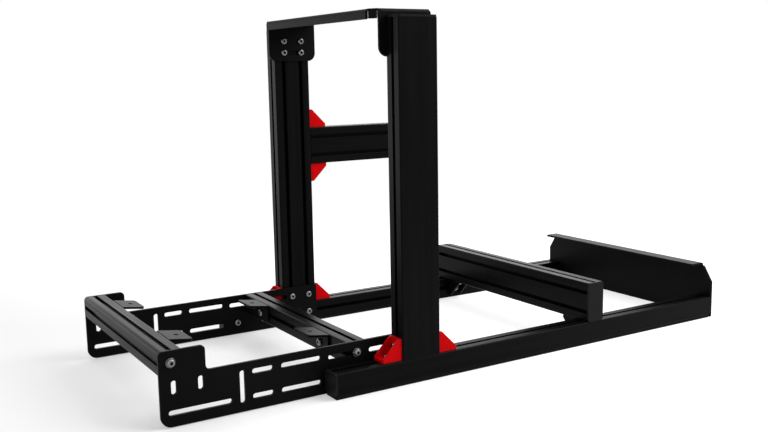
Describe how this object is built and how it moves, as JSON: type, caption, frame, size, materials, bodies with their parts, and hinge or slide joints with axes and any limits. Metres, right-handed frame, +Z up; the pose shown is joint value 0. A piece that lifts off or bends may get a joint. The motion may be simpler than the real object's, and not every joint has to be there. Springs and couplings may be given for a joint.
{
  "type": "sim racing cockpit",
  "caption": "Open bolted frame of slotted black bars for sim racing, with a raised wheel deck, a pedal tray, a shifter arm and a seat crossbar.",
  "frame": {"origin": "middle of the footprint on the floor", "axes": "+X toward the seat end, +Y toward the driver's right side as seen from the seat facing the pedals, +Z up"},
  "size_m": [1.248, 0.53, 0.662],
  "materials": {
    "bar_black": "satin black anodised",
    "sheet_black": "fine textured black powder coat on steel sheet",
    "bracket_red": "red powder coat on cast aluminium",
    "bracket_black": "black powder coat on cast aluminium",
    "cap_plastic": "matte black moulded plastic",
    "bolt_steel": "zinc plated steel bolts of the dressed scene",
    "foot_rubber": "matte black rubber"
  },
  "bodies": {
    "root": {"left_base_rail": "bar_black", "right_base_rail": "bar_black", "left_foot_strip": "foot_rubber", "right_foot_strip": "foot_rubber", "left_rail_cap": "cap_plastic", "right_rail_cap": "cap_plastic", "left_upright": "bar_black", "right_upright": "bar_black", "left_upright_cap": "cap_plastic", "right_upright_cap": "cap_plastic", "wheel_deck": "sheet_black", "shifter_arm": "bar_black", "shifter_arm_cap": "cap_plastic", "shifter_arm_upper_bracket": "bracket_red", "shifter_arm_lower_bracket": "bracket_red", "left_upright_front_bracket": "bracket_red", "left_upright_rear_bracket": "bracket_red", "right_upright_front_bracket": "bracket_red", "right_upright_rear_bracket": "bracket_red", "seat_crossbar": "bar_black", "seat_crossbar_left_cap": "cap_plastic", "seat_crossbar_right_cap": "cap_plastic", "seat_crossbar_left_bracket": "bracket_black", "seat_crossbar_right_bracket": "bracket_black", "seat_end_plate": "sheet_black", "left_pedal_side_plate": "sheet_black", "right_pedal_side_plate": "sheet_black", "pedal_front_crossbar": "bar_black", "pedal_rear_crossbar": "bar_black", "front_left_pedal_tab": "sheet_black", "front_right_pedal_tab": "sheet_black", "rear_left_pedal_tab": "sheet_black", "rear_right_pedal_tab": "sheet_black"}
  },
  "joints": []
}
